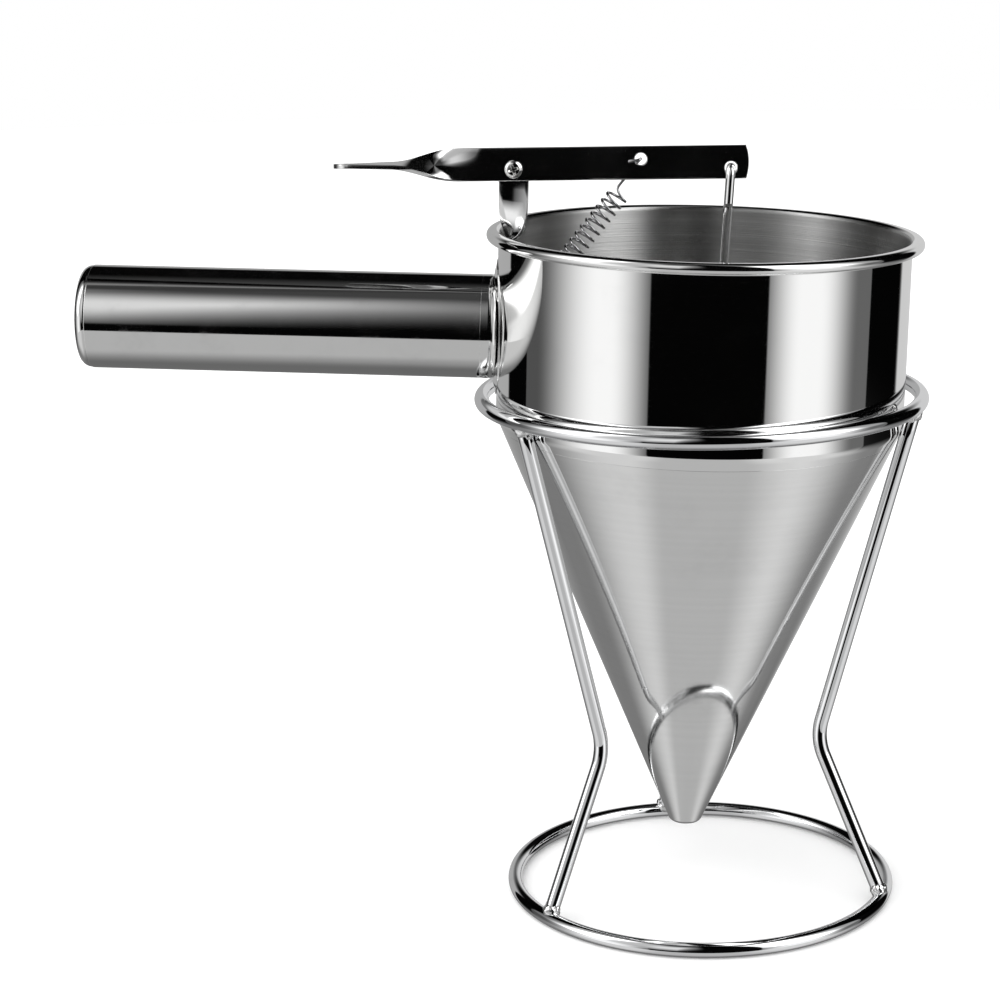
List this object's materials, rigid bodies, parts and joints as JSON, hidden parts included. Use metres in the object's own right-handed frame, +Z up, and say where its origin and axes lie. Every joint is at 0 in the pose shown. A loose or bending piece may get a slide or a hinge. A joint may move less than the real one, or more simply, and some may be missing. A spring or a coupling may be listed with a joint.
{
  "type": "batter dispenser",
  "caption": "Steel funnel with a tubular side handle and a spring-returned lever that lifts a plug valve in its tip, resting in a chromed wire stand.",
  "frame": {"origin": "centre of the stand's bottom ring, on the surface it stands on", "axes": "+Z up; the handle points to -X; +Y points away from the side on which the lever is seen"},
  "size_m": [0.286, 0.1524, 0.2596],
  "materials": {
    "stand_chrome": "bright chromed wire",
    "weld_metal": "chromed weld bead",
    "polished_steel": "mirror-polished stainless steel",
    "satin_steel": "satin stainless steel",
    "handle_steel": "polished stainless steel",
    "lever_steel": "polished stainless strip",
    "fastener_steel": "bright stainless steel",
    "spring_steel": "drawn spring wire",
    "rod_steel": "polished stainless rod"
  },
  "bodies": {
    "stand": {"stand_top_ring": "stand_chrome", "stand_bottom_ring": "stand_chrome", "stand_leg_back": "stand_chrome", "stand_leg_front_left": "stand_chrome", "stand_leg_front_right": "stand_chrome", "stand_welds": "weld_metal"},
    "funnel": {"hopper_cylinder": "polished_steel", "hopper_cone": "satin_steel", "handle_tube": "handle_steel", "handle_end_cap": "handle_steel", "handle_front_cap": "handle_steel", "handle_saddle": "polished_steel", "lever_post": "lever_steel", "pivot_screw": "fastener_steel", "pivot_washer": "fastener_steel", "pivot_nut": "fastener_steel", "return_spring": "spring_steel"},
    "lever": {"lever": "lever_steel"},
    "valve": {"valve_rod": "rod_steel", "valve_plug": "rod_steel"}
  },
  "joints": [
    {"name": "funnel_lift", "type": "slide", "parent": "stand", "child": "funnel", "axis": [0, 0, 1], "range_m": [0, 0.17]},
    {"name": "lever_pivot", "type": "hinge", "parent": "funnel", "child": "lever", "pos_m": [-0.06165, 0, 0.25236], "axis": [0, -1, 0], "range_deg": [0, 12], "stiffness_Nm_per_rad": 0.8, "springref_deg": -20.05, "deforming": ["return_spring"]},
    {"name": "rod_swing", "type": "hinge", "parent": "lever", "child": "valve", "pos_m": [0.00995, 0, 0.25228], "axis": [0, -1, 0], "range_deg": [-12, 0]}
  ],
  "couplings": [
    {"joint": "rod_swing", "follows": "lever_pivot", "ratio": -1}
  ]
}
